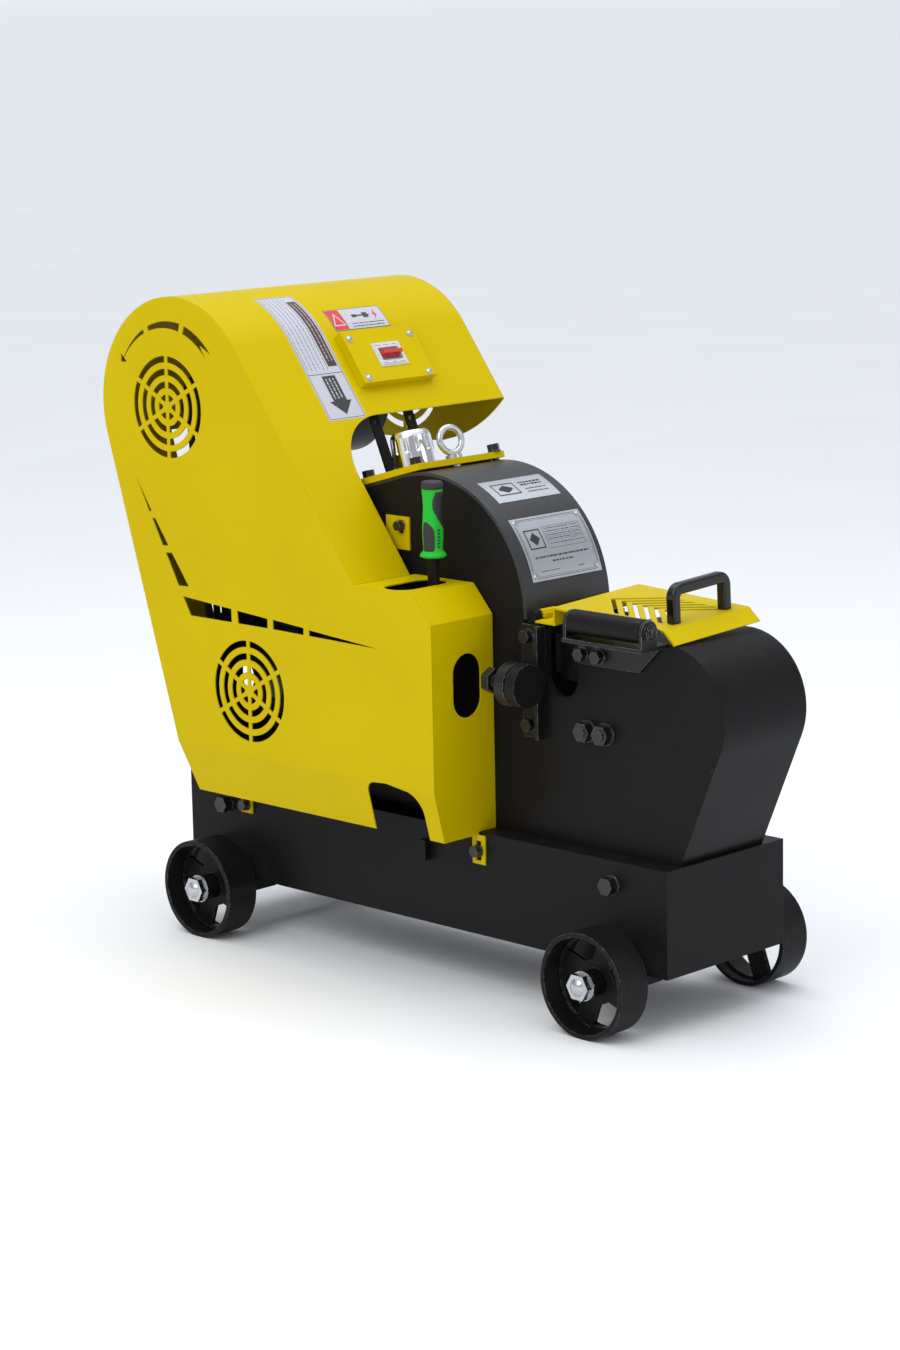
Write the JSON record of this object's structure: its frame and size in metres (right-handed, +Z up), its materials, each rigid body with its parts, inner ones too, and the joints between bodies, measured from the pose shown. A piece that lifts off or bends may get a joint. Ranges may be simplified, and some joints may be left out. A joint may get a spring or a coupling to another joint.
{
  "type": "rebar cutter",
  "caption": "Wheeled bar cutting machine with a belt-driven gearbox, clutch lever, crank-driven ram and blades in a rounded nose, a vented cover and a sheet-metal drive hood",
  "frame": {"origin": "on the floor under the middle of the machine's bounding box", "axes": "+X along the machine from the hood to the nose, +Y across it away from the clutch lever, +Z up"},
  "size_m": [1.1774, 0.505, 1.032],
  "materials": {
    "black_paint": "semi-gloss black paint, worn at the edges",
    "arch_black": "satin dark paint",
    "hood_yellow": "glossy yellow powder coat",
    "cast_black": "cast iron, black paint worn on the tread",
    "chrome": "polished chrome",
    "zinc": "bright zinc plate",
    "bare_steel": "machined steel",
    "bolt_black": "black oxide",
    "belt_rubber": "black belt rubber",
    "grip_green": "bright green soft plastic",
    "black_plastic": "black moulded plastic",
    "grey_plastic": "pale grey moulded plastic",
    "red_plastic": "red moulded plastic",
    "plate_metal": "brushed aluminium",
    "bronze": "bearing bronze"
  },
  "bodies": {
    "frame": {"arch_cover": "arch_black", "base_channels": "black_paint", "base_end_plates": "black_paint", "blade_seat": "black_paint", "breaker_body": "grey_plastic", "cable_gland": "black_plastic", "cover_hinge": "black_paint", "drive_belts": "belt_rubber", "filler_neck": "zinc", "fixed_blade": "bare_steel", "gearbox_pan": "black_paint", "gearbox_side_far": "black_paint", "gearbox_side_near": "black_paint", "gearbox_top_plate": "hood_yellow", "head_tie_bolts": "bolt_black", "hex_bolts": "bolt_black", "hood_panel_far": "hood_yellow", "hood_panel_near": "hood_yellow", "hood_pocket": "hood_yellow", "hood_struts": "black_paint", "hood_tabs": "hood_yellow", "hood_wrap": "hood_yellow", "lever_bracket": "black_paint", "lifting_eye": "zinc", "motor_housing": "black_paint", "motor_stand": "black_paint", "name_plates": "plate_metal", "nose_side_far": "black_paint", "nose_side_near": "black_paint", "nose_wrap": "black_paint", "ram_guides": "black_paint", "roller_bracket": "black_paint", "shaft_bearings": "bronze", "stop_bracket": "black_paint", "switch_box": "hood_yellow", "wheel_axles": "black_paint", "wheel_nuts": "zinc"},
    "wheel_rear_near_spin": {"wheel_rear_near": "cast_black"},
    "wheel_rear_far_spin": {"wheel_rear_far": "cast_black"},
    "wheel_front_near_spin": {"wheel_front_near": "cast_black"},
    "wheel_front_far_spin": {"wheel_front_far": "cast_black"},
    "filler_cap_body": {"filler_cap": "chrome"},
    "top_cover": {"vent_cover": "hood_yellow", "cover_handle": "black_plastic"},
    "bar_roller": {"support_roller": "cast_black"},
    "stop_pad_body": {"stop_pad": "cast_black"},
    "stop_screw_body": {"stop_screw": "bolt_black"},
    "clutch_lever": {"lever_bar": "black_paint", "lever_grip": "grip_green"},
    "clutch_slide": {"clutch_rod": "bare_steel"},
    "ram_assembly": {"ram": "bare_steel", "moving_blade": "bare_steel", "connecting_rod": "bare_steel"},
    "crank": {"eccentric_shaft": "bare_steel"},
    "bull_gear": {"crank_gear": "bare_steel"},
    "intermediate_shaft": {"intermediate_gear_shaft": "bare_steel"},
    "input_drive": {"input_shaft": "bare_steel", "belt_pulley": "cast_black"},
    "motor_rotor": {"motor_pulley": "cast_black"},
    "breaker_switch": {"breaker_toggle": "red_plastic"}
  },
  "joints": [
    {"name": "wheel_rear_near_axle", "type": "hinge", "parent": "frame", "child": "wheel_rear_near_spin", "pos_m": [-0.41875, -0.209, 0.079], "axis": [0, 1, 0], "continuous": true},
    {"name": "wheel_rear_far_axle", "type": "hinge", "parent": "frame", "child": "wheel_rear_far_spin", "pos_m": [-0.41875, 0.154, 0.079], "axis": [0, 1, 0], "continuous": true},
    {"name": "wheel_front_near_axle", "type": "hinge", "parent": "frame", "child": "wheel_front_near_spin", "pos_m": [0.41725, -0.209, 0.079], "axis": [0, 1, 0], "continuous": true},
    {"name": "wheel_front_far_axle", "type": "hinge", "parent": "frame", "child": "wheel_front_far_spin", "pos_m": [0.41725, 0.154, 0.079], "axis": [0, 1, 0], "continuous": true},
    {"name": "filler_cap_turn", "type": "hinge", "parent": "frame", "child": "filler_cap_body", "pos_m": [-0.10729, -0.0275, 0.76371], "axis": [-0.2647, 0, 0.9643], "range_deg": [0, 90]},
    {"name": "top_cover_hinge", "type": "hinge", "parent": "frame", "child": "top_cover", "pos_m": [0.22125, -0.0275, 0.584], "axis": [0, -1, 0], "range_deg": [0, 80]},
    {"name": "support_roller_spin", "type": "hinge", "parent": "frame", "child": "bar_roller", "pos_m": [0.41025, -0.1595, 0.5934], "axis": [1, 0, 0], "continuous": true},
    {"name": "stop_pad_travel", "type": "slide", "parent": "frame", "child": "stop_pad_body", "axis": [1, 0, 0], "range_m": [0, 0.02]},
    {"name": "stop_screw_turn", "type": "hinge", "parent": "stop_pad_body", "child": "stop_screw_body", "pos_m": [0.18925, -0.1725, 0.489], "axis": [1, 0, 0], "range_deg": [0, 1440]},
    {"name": "clutch_lever_pivot", "type": "hinge", "parent": "frame", "child": "clutch_lever", "pos_m": [0.06525, -0.1675, 0.5], "axis": [1, 0, 0], "range_deg": [0, 10.5]},
    {"name": "clutch_rod_travel", "type": "slide", "parent": "frame", "child": "clutch_slide", "axis": [0, -1, 0], "range_m": [0, 0.011]},
    {"name": "ram_stroke", "type": "slide", "parent": "frame", "child": "ram_assembly", "axis": [1, 0, 0], "range_m": [0, 0.04]},
    {"name": "crank_turn", "type": "hinge", "parent": "frame", "child": "crank", "pos_m": [0.00725, -0.0275, 0.56], "axis": [0, 1, 0], "range_deg": [0, 180]},
    {"name": "bull_gear_spin", "type": "hinge", "parent": "frame", "child": "bull_gear", "pos_m": [0.00725, -0.0275, 0.56], "axis": [0, 1, 0], "continuous": true},
    {"name": "intermediate_spin", "type": "hinge", "parent": "frame", "child": "intermediate_shaft", "pos_m": [-0.1136, -0.0275, 0.38218], "axis": [0, 1, 0], "continuous": true},
    {"name": "input_spin", "type": "hinge", "parent": "frame", "child": "input_drive", "pos_m": [-0.25675, -0.0275, 0.427], "axis": [0, 1, 0], "continuous": true},
    {"name": "motor_spin", "type": "hinge", "parent": "frame", "child": "motor_rotor", "pos_m": [-0.41475, -0.0275, 0.858], "axis": [0, 1, 0], "continuous": true},
    {"name": "breaker_toggle_flip", "type": "hinge", "parent": "frame", "child": "breaker_switch", "pos_m": [-0.23432, 0.0405, 0.92725], "axis": [0, 1, 0], "range_deg": [-20, 20]}
  ],
  "couplings": [
    {"joint": "intermediate_spin", "follows": "bull_gear_spin", "ratio": -3.7778},
    {"joint": "input_spin", "follows": "bull_gear_spin", "ratio": 13.931},
    {"joint": "motor_spin", "follows": "bull_gear_spin", "ratio": 45.971},
    {"joint": "crank_turn", "follows": "ram_stroke", "rad_per_m": 78.54},
    {"joint": "clutch_rod_travel", "follows": "clutch_lever_pivot", "m_per_rad": 0.06},
    {"joint": "stop_screw_turn", "follows": "stop_pad_travel", "rad_per_m": 1256.6}
  ]
}
